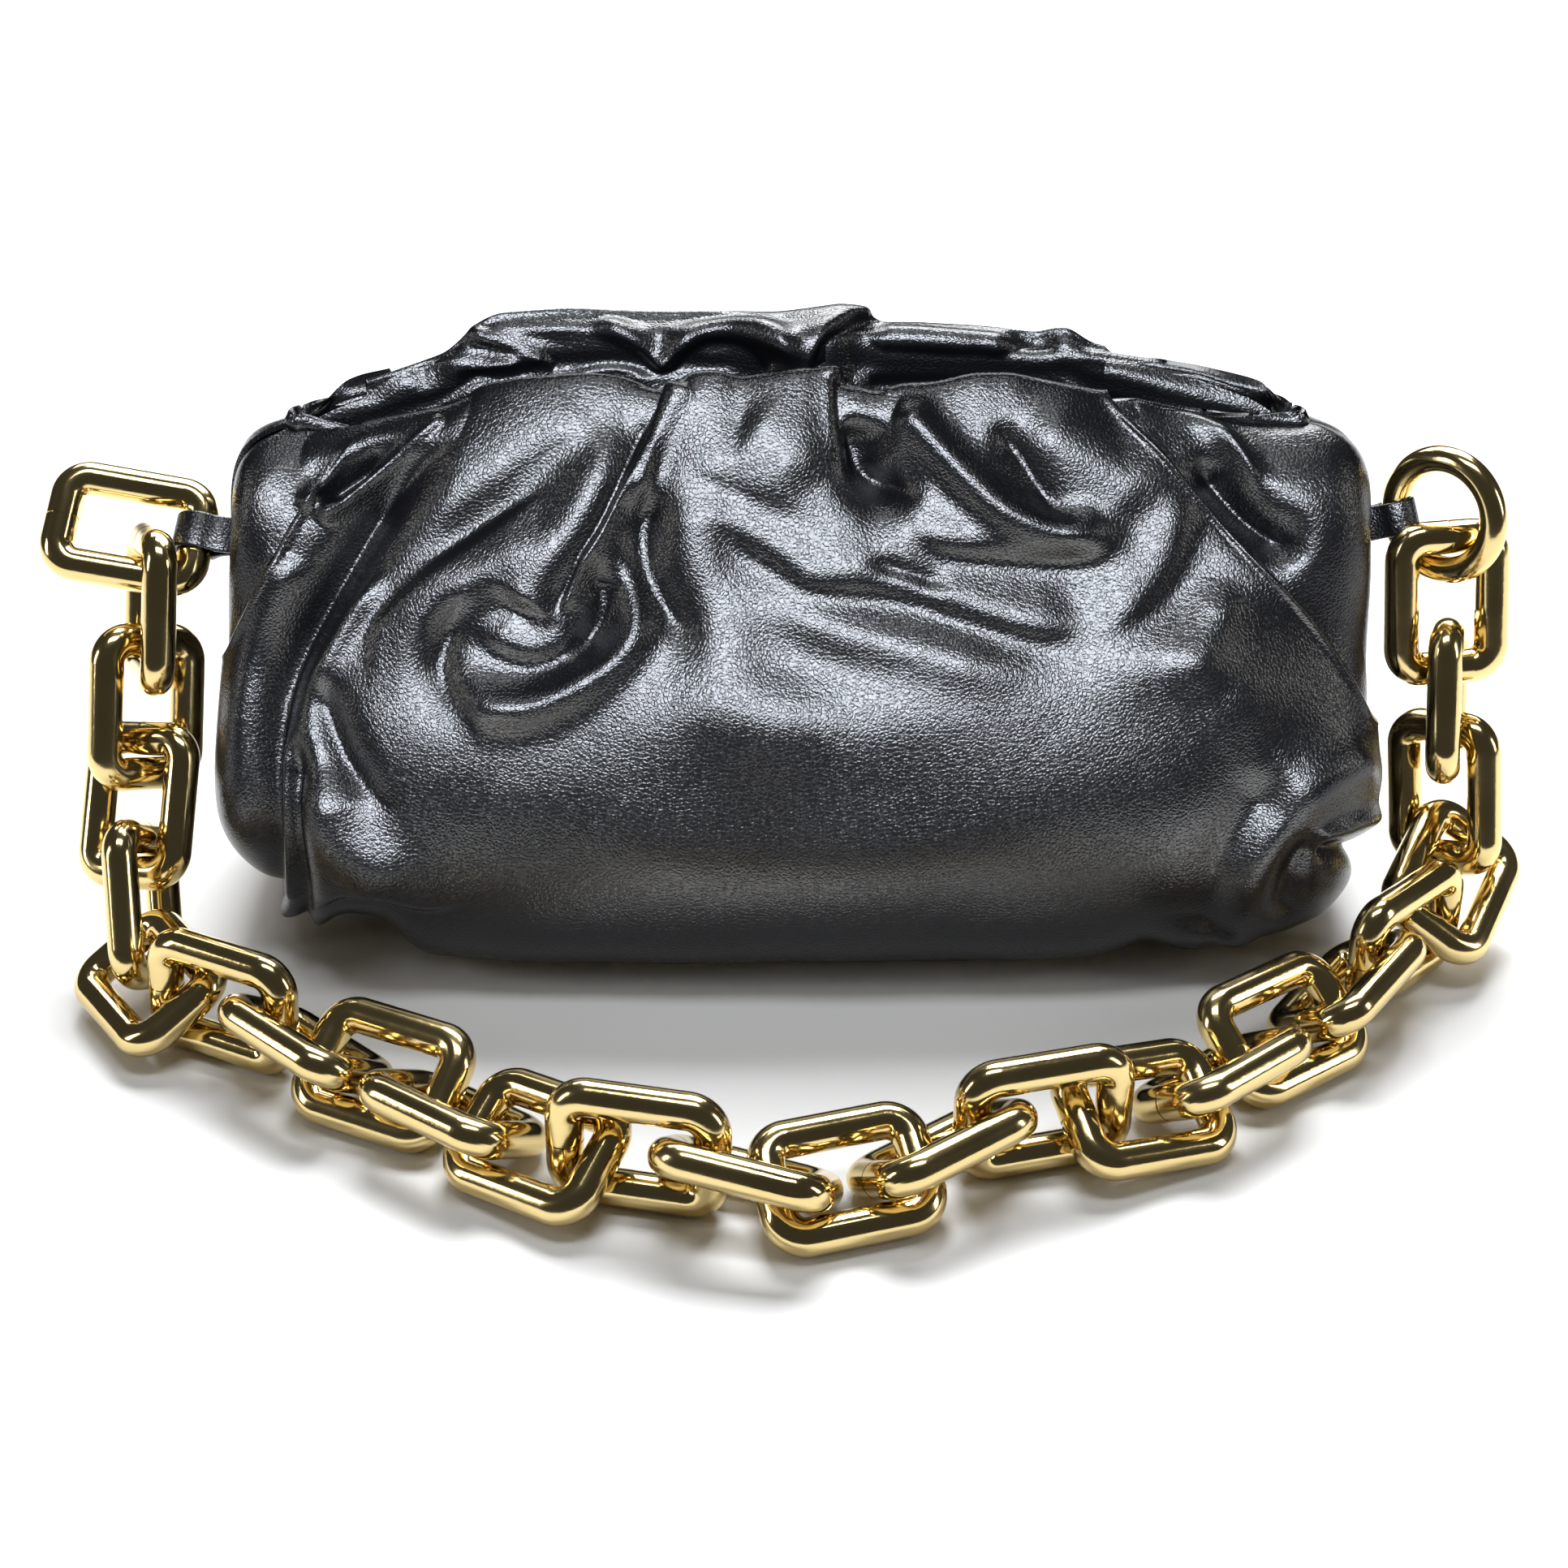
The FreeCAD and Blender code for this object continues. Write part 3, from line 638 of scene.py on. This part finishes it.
def seam_angles(end, tau):
    """How far round from the pouch's end the seam lies, for each place along the profile."""
    off = np.radians(np.linspace(1.5, 70, 420))
    th = math.pi + off if end == "left" else 2 * math.pi - off
    rows = np.linspace(0, T_CREST, 221)
    q = to_px(form(th[None, :], rows[:, None]))
    line = np.array(SEAM_LEFT if end == "left" else SEAM_RIGHT, float)
    d = q[..., 0] - np.interp(q[..., 1], line[:, 0], line[:, 1])
    if end == "right":
        d = -d
    k = np.argmax(d > 0, axis=1)
    out = off[k]
    w = np.exp(-0.5 * (np.arange(-12, 13) / 5.0) ** 2)
    out = np.convolve(np.pad(out, 12, mode="edge"), w / w.sum(), mode="valid")
    return np.interp(tau, rows, out)


def profile_places(n_outer, n_hem):
    """Places along the profile, spaced evenly by length."""
    t = np.linspace(0, T_END, 2000)
    P = form(np.full_like(t, 1.5 * math.pi), t)
    s = np.concatenate([[0], np.cumsum(np.linalg.norm(np.diff(P, axis=0), axis=1))])
    sc = np.interp(T_CREST, t, s)
    a = np.interp(np.linspace(0, sc, n_outer), s, t)
    b = np.interp(np.linspace(sc, s[-1], n_hem)[1:], s, t)
    return np.concatenate([a, b])


def panel_grid(side, nu, n_outer, n_hem):
    tau = profile_places(n_outer, n_hem)
    u = np.linspace(0, 1, nu)
    left = seam_angles("left", tau)
    rightward = seam_angles("right", tau)
    if side == "front":
        a, b = math.pi + left, 2 * math.pi - rightward
    else:
        a, b = rightward, math.pi - left
    theta = a[:, None] + (b - a)[:, None] * u[None]
    return theta, np.broadcast_to(tau[:, None], theta.shape)


def damp_bottom(P):
    """Folds die out where the leather lies on the floor."""
    return np.clip((P[..., 2] - 0.3) / 5.0, 0.0, 1.0)


def edge_bead(P, tau):
    """The panel's edge stands up a little along the seam."""
    step = np.linalg.norm(np.diff(P, axis=1), axis=-1)
    d = np.concatenate([np.zeros((len(P), 1)), np.cumsum(step, axis=1)], axis=1)
    d = np.minimum(d, d[:, -1:] - d)
    side_ = 1 - 0.8 * np.clip((np.abs(P[..., 0]) - 138.0) / 6.0, 0, 1)
    return 0.9 * side_ * np.exp(-((d - 1.1) / 1.1) ** 2) * np.clip((T_CREST - tau) / 0.6, 0, 1) * damp_bottom(P)


def lift_hem(P, q):
    """The lower edge rises off the floor in two places at the front."""
    px = q.reshape(P.shape[:2] + (2,))[..., 0]
    low = np.clip(1 - P[..., 2] / 34.0, 0, 1) ** 1.2 * np.clip(-P[..., 1] / 20.0, 0, 1)
    P[..., 2] += low * (15.0 * np.exp(-np.abs((px - 450) / 52.0) ** 3) + 5.0 * np.exp(-((px - 1410) / 34.0) ** 2))
    return P


# the middle lines of the two frame wires, by distance from the middle of the bag: along, deep, high
WIRE_FRONT = np.array([(0, -8.2, 139.2), (32, -8.3, 139.6), (48, -8.2, 139.4), (64, -7.6, 138.0), (80, -6.7, 135.2), (96, -5.4, 131.5), (104, -4.7, 129.5), (112, -4.1, 127.1), (120, -3.6, 125.3), (126, -3.0, 122.5), (130, -1.0, 118.0)])
WIRE_REAR = np.array([(0, 10.0, 144.6), (32, 10.1, 145.0), (48, 9.9, 144.7), (64, 9.4, 143.2), (80, 8.2, 140.0), (96, 6.6, 135.2), (104, 5.9, 132.9), (112, 5.2, 131.0), (120, 4.0, 128.1), (125, 2.0, 119.0)])


def over_wire(P, N, h, wire, keep):
    """Folds never press the leather below the frame's wire."""
    ax = np.abs(P[..., 0])
    C = np.stack([P[..., 0], np.interp(ax, wire[:, 0], wire[:, 1]), np.interp(ax, wire[:, 0], wire[:, 2])], -1)
    d = P - C
    dn = (d * N).sum(-1)
    dt = np.linalg.norm(d - dn[..., None] * N, axis=-1)
    w = np.exp(-(dt / 6.5) ** 4) * (ax < 131)
    return np.where(h < keep - dn, h + (keep - dn - h) * w, h)


def hold_width(P):
    """Keeps the ends clear of the chain."""
    x = P[..., 0]
    lim = 148.9
    over = np.maximum(np.abs(x) - (lim - 2.0), 0.0)
    P[..., 0] = np.sign(x) * (np.minimum(np.abs(x), lim - 2.0) + 2.0 * np.tanh(over / 2.0))
    return P


THICK = 1.5
k = 1.0

# front panel with its lip
theta, tau = panel_grid("front", int(520 * k), int(300 * k), int(70 * k))
P = form(theta, tau)
N = normals(P)
q = to_px(P).reshape(-1, 2)
h = fold_height(q, FRONT_FOLDS).reshape(P.shape[:2])
outside = 1 - np.clip((tau - T_CREST) / 1.0, 0, 1)
h = (h + wander(P, 3, 60.0, 0.35) + wander(P, 4, 130.0, 1.0)) * damp_bottom(P) * outside + edge_bead(P, tau)
h = over_wire(P, N, h, WIRE_FRONT, 4.0)
P1 = hold_width(P + N * h[..., None])
P1[..., 2] = np.maximum(P1[..., 2], 0.25)
P1 = lift_hem(P1, q)
front = shell_mesh("leather_front", P1, P1 - N * THICK, [LEATHER, LINING], 1)
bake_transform(front)
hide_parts("front_panel", "front_lip")

# rear panel with its lip; the back has soft folds of the same kind
theta, tau = panel_grid("rear", int(440 * k), int(230 * k), int(90 * k))
P = form(theta, tau)
N = normals(P)
q = to_px(P).reshape(-1, 2)
lip = fold_height(q, REAR_LIP_FOLDS).reshape(P.shape[:2]) * np.clip((tau - (T_CREST + 0.05)) / 0.6, 0, 1) * np.clip((14.7 - tau) / 1.0, 0, 1)
turned = P * np.array([-1.0, -1.0, 1.0])
back = fold_height(to_px(turned).reshape(-1, 2), FRONT_FOLDS[5:9] + FRONT_FOLDS[12:19] + FRONT_FOLDS[20:32] + FRONT_FOLDS[35:41]).reshape(P.shape[:2]) * 0.85
back *= 1 - np.clip((tau - (T_CREST - 0.8)) / 0.8, 0, 1)
h = lip + (back + wander(P, 5, 60.0, 0.35) * (tau < T_CREST)) * damp_bottom(P) + edge_bead(P, tau)
h = over_wire(P, N, h, WIRE_REAR, 4.0)
P1 = hold_width(P + N * h[..., None])
P1[..., 2] = np.maximum(P1[..., 2], 0.25)
rear = shell_mesh("leather_rear", P1, P1 - N * THICK, [LEATHER, LINING], 1)
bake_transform(rear)
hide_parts("rear_panel", "rear_lip")


# gussets: each end in a front and a rear half that meet in a crease
def gusset(name, end, half, node):
    tau = profile_places(int(220 * k), int(50 * k))
    off = seam_angles(end, tau) + math.radians(4.0)
    u = np.linspace(0, 1, int(110 * k))
    if end == "left":
        mid = math.pi
        theta = mid + (off[:, None] * u[None] if half == "front" else -off[:, None] * u[None])
    else:
        mid = 2 * math.pi if half == "front" else 0.0
        theta = mid + (-off[:, None] * u[None] if half == "front" else off[:, None] * u[None])
    # columns run with rising theta
    order = 1 if theta[0, -1] > theta[0, 0] else -1
    theta = theta[:, ::order]
    tau2 = np.broadcast_to(tau[:, None], theta.shape)
    eps = 1e-4
    theta = np.clip(theta, (math.pi + eps if half == "front" else eps), (2 * math.pi - eps if half == "front" else math.pi - eps))
    P = form(theta, tau2)
    N = normals(P)
    ang = np.abs(theta - mid) / math.radians(1.0)
    crease = -2.2 * np.exp(-(ang / 5.0) ** 2) * np.clip((tau2 - 1.0) / 2, 0, 1) * np.clip((92.0 - P[..., 2]) / 18.0, 0, 1)
    wave = 1.5 * np.sin(P[..., 2] * 0.11 + P[..., 1] * 0.13) * np.exp(-((ang - 7) / 6.0) ** 2)
    h = crease + wave * 0.5 + wander(P, 9, 45.0, 0.3)
    seen = P if half == "front" else P * np.array([-1.0, -1.0, 1.0])
    h = h + fold_height(to_px(seen).reshape(-1, 2), FRONT_FOLDS).reshape(P.shape[:2]) * (1.0 if half == "front" else 0.8) * np.clip(ang / 6.0, 0, 1)
    under = np.clip((ang * math.radians(1.0) / off[:, None] - 0.55) / 0.3, 0, 1)
    h = (h + wander(P, 4, 130.0, 1.0) * (half == "front")) * damp_bottom(P) * np.clip((T_CREST - tau2) / 0.5, 0, 1) - 1.7 - 1.3 * under
    h = over_wire(P, N, h, WIRE_FRONT if half == "front" else WIRE_REAR, 3.6)
    P1 = hold_width(P + N * h[..., None])
    P1[..., 2] = np.maximum(P1[..., 2], 0.3)
    o = shell_mesh(name, P1, P1 - N * 1.2, [LEATHER], 0)
    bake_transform(o)
    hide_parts(node)
    return o


gusset("gusset_left_front", "left", "front", "left_gusset")
gusset("gusset_left_rear", "left", "rear", "left_gusset")
gusset("gusset_right_front", "right", "front", "right_gusset")
gusset("gusset_right_rear", "right", "rear", "right_gusset")


# an inner fold of leather at each end: it is seen when the mouth's halves part, and it covers the hinge
def inner_fold(name, end, node):
    tau = np.linspace(7.2, 10.75, int(70 * k))
    off = math.radians(9.0) * np.linspace(-1, 1, int(71 * k) | 1)
    if end == "left":
        theta = math.pi + off
    else:
        theta = np.where(off < 0, 2 * math.pi + off, off)
    # the two halves are each taken from their own side of the end
    eps = 1e-4
    theta = np.where(np.abs(off) < eps, (math.pi - eps if end == "left" else eps), theta)
    theta, tau2 = np.meshgrid(theta, tau)
    P = form(theta, tau2)
    # one direction for each level, from the middle of the end, keeps the fold smooth where it narrows
    d = np.gradient(P[:, P.shape[1] // 2], axis=0)
    side = -1.0 if end == "left" else 1.0
    N = np.stack([side * d[:, 2], 0 * d[:, 0], -side * d[:, 0]], -1)
    N = (N / np.linalg.norm(N, axis=1, keepdims=True))[:, None, :]
    dip = 1.6 * np.exp(-(off / math.radians(3.2)) ** 2)[None, :, None]
    o = shell_mesh(name, P - N * (4.8 + dip), P - N * (6.0 + dip), [LEATHER], 0)
    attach(o, "bag")
    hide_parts(node)
    return o


inner_fold("gusset_left_fold", "left", "left_gusset")
inner_fold("gusset_right_fold", "right", "right_gusset")


# ------------------------------------------------------------------ tabs
def strip_mesh(name, path, widths_dir, width, thick, mat):
    """A flat strap swept along a path (n, 3) in mm; its width lies along widths_dir."""
    n = len(path)
    w = np.array(widths_dir, float)
    w /= np.linalg.norm(w)
    t = np.gradient(path, axis=0)
    t /= np.linalg.norm(t, axis=1)[:, None]
    nor = np.cross(t, w)
    nor /= np.linalg.norm(nor, axis=1)[:, None]
    # rounded-rectangle section
    sec = []
    r = thick * 0.42
    for cx, cy, a0 in ((width / 2 - r, thick / 2 - r, 0), (-width / 2 + r, thick / 2 - r, 90), (-width / 2 + r, -thick / 2 + r, 180), (width / 2 - r, -thick / 2 + r, 270)):
        for a in np.radians(np.linspace(a0, a0 + 90, 5)):
            sec.append((cx + r * math.cos(a), cy + r * math.sin(a)))
    sec = np.array(sec)
    m = len(sec)
    V = path[:, None, :] + sec[None, :, 0:1] * w + sec[None, :, 1:2] * nor[:, None, :]
    verts = (V.reshape(-1, 3) * MM).tolist()
    faces = []
    for i in range(n - 1):
        for j in range(m):
            a, b = i * m + j, i * m + (j + 1) % m
            faces.append((a, b, b + m, a + m))
    faces.append(tuple(range(m - 1, -1, -1)))
    faces.append(tuple((n - 1) * m + j for j in range(m)))
    me = bpy.data.meshes.new(name)
    me.from_pydata(verts, [], faces)
    me.update()
    for p in me.polygons:
        p.use_smooth = len(p.vertices) == 4
    me.materials.append(mat)
    o = bpy.data.objects.new(name, me)
    bpy.context.scene.collection.objects.link(o)
    return o


def tab(name, bar_mid, bar_dir, bar_r, goal, width, thick, node):
    c, w, g = (np.array(v, float) for v in (bar_mid, bar_dir, goal))
    w /= np.linalg.norm(w)
    e1 = g - c
    reach = np.linalg.norm(e1)
    e1 = e1 - w * (e1 @ w)
    e1 /= np.linalg.norm(e1)
    e2 = np.cross(w, e1)
    R = bar_r + 0.12 + thick / 2
    D = reach + 2.0
    # the round part, then both ends close up against each other and run into the gusset
    a0 = math.acos(min(1.0, (R - thick * 0.52) / (R * 1.9))) * 0.75
    arc = [(R * math.cos(a), R * math.sin(a)) for a in np.linspace(a0, 2 * math.pi - a0, 56)]
    first = [(x, thick * 0.52 + (arc[0][1] - thick * 0.52) * ((D - x) / (D - arc[0][0])) ** 3) for x in np.linspace(D, arc[0][0], 18)[:-1]]
    lastp = [(x, -y) for x, y in first[::-1]]
    pts = np.array(first + arc + lastp)
    path = c + pts[:, 0:1] * e1 + pts[:, 1:2] * e2
    o = strip_mesh(name, path, w, width, thick, LEATHER)
    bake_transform(o)
    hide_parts(node)
    return o


tab("tab_left_loop", (-151.73, 4.05, 99.25), (0.1362, 0.7006, 0.7005), 4.3, (-141.5, 4.0, 103.0), 9.4, 1.7, "left_tab")
tab("tab_right_loop", (151.66, 3.98, 104.45), (0.2376, -0.366, -0.8998), 3.4, (141.5, 4.0, 104.0), 8.6, 1.6, "right_tab")

# ------------------------------------------------------------------ lining and base
tau = np.linspace(1.2, 9.0, 60)
th = np.linspace(0, 2 * math.pi, 161)
P = form(np.broadcast_to(th[None], (60, 161)), np.broadcast_to(tau[:, None], (60, 161)))
N = normals(P)
N[:, 0] = N[:, -1] = (N[:, 0] + N[:, -1]) / 2
liner = shell_mesh("lining_bag", P - N * 13.5, P - N * 14.3, [LINING], 0)
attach(liner, "bag")
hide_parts("lining")

# the base: a stitched leather panel, slightly domed inside, with a rounded rim
rad = np.array([0.0, 0.25, 0.5, 0.72, 0.86, 0.94, 0.98, 1.0, 1.0, 0.985, 0.95, 0.85, 0.6, 0.3, 0.0])
hgt = np.array([3.4, 3.4, 3.35, 3.3, 3.25, 3.2, 2.9, 2.2, 1.2, 0.5, 0.15, 0.08, 0.06, 0.06, 0.06])
th = np.linspace(0, 2 * math.pi, 193)[:-1]
ring = np.stack(outline(np.cos(th), np.sin(th), 111.0, 32.0, 2.4), -1)
bv, bf = [], []
for r_, z_ in zip(rad[1:-1], hgt[1:-1]):
    bv += [(x * r_ * MM, y * r_ * MM, z_ * MM) for x, y in ring]
n_ = len(th)
for i in range(len(rad) - 3):
    for j in range(n_):
        bf.append((i * n_ + (j + 1) % n_, i * n_ + j, (i + 1) * n_ + j, (i + 1) * n_ + (j + 1) % n_))
bv += [(0, 0, hgt[0] * MM), (0, 0, hgt[-1] * MM)]
top_, low_ = len(bv) - 2, len(bv) - 1
for j in range(n_):
    bf.append((top_, j, (j + 1) % n_))
    bf.append((low_, (len(rad) - 3) * n_ + (j + 1) % n_, (len(rad) - 3) * n_ + j))
bm = bpy.data.meshes.new("leather_base")
bm.from_pydata(bv, [], bf)
bm.update()
for p_ in bm.polygons:
    p_.use_smooth = True
bm.materials.append(LEATHER)
base_piece = bpy.data.objects.new("leather_base", bm)
bpy.context.scene.collection.objects.link(base_piece)
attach(base_piece, "bag")
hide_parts("base")

# ------------------------------------------------------------------ stage
me = bpy.data.meshes.new("floor")
me.from_pydata([(-6.0, -0.34, 0), (6.0, -0.34, 0), (6.0, 6.0, 0), (-6.0, 6.0, 0)], [], [(0, 1, 2, 3)])
floor = bpy.data.objects.new("floor", me)
bpy.context.scene.collection.objects.link(floor)
fm, fnt, fb = new_material("floor_pale")
fco = add(fnt, "ShaderNodeTexCoord")
fsep = add(fnt, "ShaderNodeSeparateXYZ")
fnt.links.new(fco.outputs["Object"], fsep.inputs["Vector"])
# painted light: the floor's colour grows lighter towards the back, where less light reaches it
frange = add(fnt, "ShaderNodeMapRange")
frange.inputs["From Min"].default_value = 0.0
frange.inputs["From Max"].default_value = 0.5
fnt.links.new(fsep.outputs["Y"], frange.inputs["Value"])
fmix = add(fnt, "ShaderNodeMix")
fmix.data_type = "RGBA"
fmix.inputs[6].default_value = (0.82, 0.82, 0.82, 1)
fmix.inputs[7].default_value = (0.86, 0.86, 0.86, 1)
fnt.links.new(frange.outputs["Result"], fmix.inputs[0])
fnt.links.new(fmix.outputs[2], fb.inputs["Base Color"])
fb.inputs["Roughness"].default_value = 0.6
fb.inputs["Specular IOR Level"].default_value = 0.2
me.materials.append(fm)
# the floor goes on in front; there it is kept out of the reflections
me = bpy.data.meshes.new("floor_near")
me.from_pydata([(-6.0, -6.0, 0), (6.0, -6.0, 0), (6.0, -0.34, 0), (-6.0, -0.34, 0)], [], [(0, 1, 2, 3)])
floor_near = bpy.data.objects.new("floor_near", me)
bpy.context.scene.collection.objects.link(floor_near)
me.materials.append(fm)
floor_near.visible_glossy = False


def area(name, place, target, sx, sy, power, colour=(1, 1, 1)):
    d = bpy.data.lights.new(name, "AREA")
    d.shape = "RECTANGLE"
    d.size, d.size_y = sx, sy
    d.energy = power
    d.color = colour
    o = bpy.data.objects.new(name, d)
    bpy.context.scene.collection.objects.link(o)
    o.location = place
    o.rotation_euler = (Vector(target) - Vector(place)).to_track_quat("-Z", "Y").to_euler()
    return o


bpy.context.scene.view_settings.view_transform = "Standard"
lamp = area("light_front", (-0.12, -1.28, 1.07), (0, 0, 0.08), 1.2, 0.64, 92, (0.86, 0.91, 1.0))
bounce = area("light_bounce", (0.0, -0.165, 0.003), (0.0, -0.165, 1.0), 0.40, 0.12, 0.75, (1.0, 1.0, 1.0))
bounce.visible_camera = False
# flags keep the big front light off the floor and the metal
lit = bpy.data.collections.new("front_light_set")
for o in list(bpy.context.scene.collection.all_objects):
    if o.type == "MESH" and o.name.startswith(("leather_", "gusset_", "tab_")):
        lit.objects.link(o)
lamp.light_linking.receiver_collection = lit
bounce.light_linking.receiver_collection = lit
key = area("light_key", (0.12, 0.78, 1.3), (0, 0.0, 0.05), 1.0, 0.6, 42, (0.96, 0.98, 1.0))
back_set = bpy.data.collections.new("back_light_set")
for o in list(bpy.context.scene.collection.all_objects):
    if o.type == "MESH" and o.name != "leather_front":
        back_set.objects.link(o)
key.light_linking.receiver_collection = back_set
area("light_top", (0.0, -0.22, 1.25), (0, -0.02, 0.08), 0.7, 0.25, 5, (0.94, 0.97, 1.0))
area("light_right", (1.2, -0.35, 0.5), (0.1, -0.03, 0.06), 0.2, 0.6, 3, (1.0, 0.97, 0.92))
area("light_left", (-1.2, -0.35, 0.5), (-0.1, -0.03, 0.06), 0.2, 0.6, 3, (1.0, 0.97, 0.92))
area("light_back", (0.0, 1.7, 1.4), (0, 1.1, 0.0), 2.4, 0.9, 36, (0.97, 0.98, 1.0))
world = bpy.data.worlds.new("world")
bpy.context.scene.world = world
world.use_nodes = True
wt = world.node_tree
bg = wt.nodes["Background"]
bg.inputs["Color"].default_value = (0.8, 0.81, 0.83, 1)
bg.inputs["Strength"].default_value = 0.06
# the plain pale backdrop is seen, but the room that lights the scene is dim
seen = wt.nodes.new("ShaderNodeBackground")
seen.inputs["Color"].default_value = (0.86, 0.86, 0.87, 1)
seen.inputs["Strength"].default_value = 0.95
path = wt.nodes.new("ShaderNodeLightPath")
join = wt.nodes.new("ShaderNodeMixShader")
wt.links.new(path.outputs["Is Camera Ray"], join.inputs[0])
wt.links.new(bg.outputs["Background"], join.inputs[1])
wt.links.new(seen.outputs["Background"], join.inputs[2])
wt.links.new(join.outputs["Shader"], wt.nodes["World Output"].inputs["Surface"])
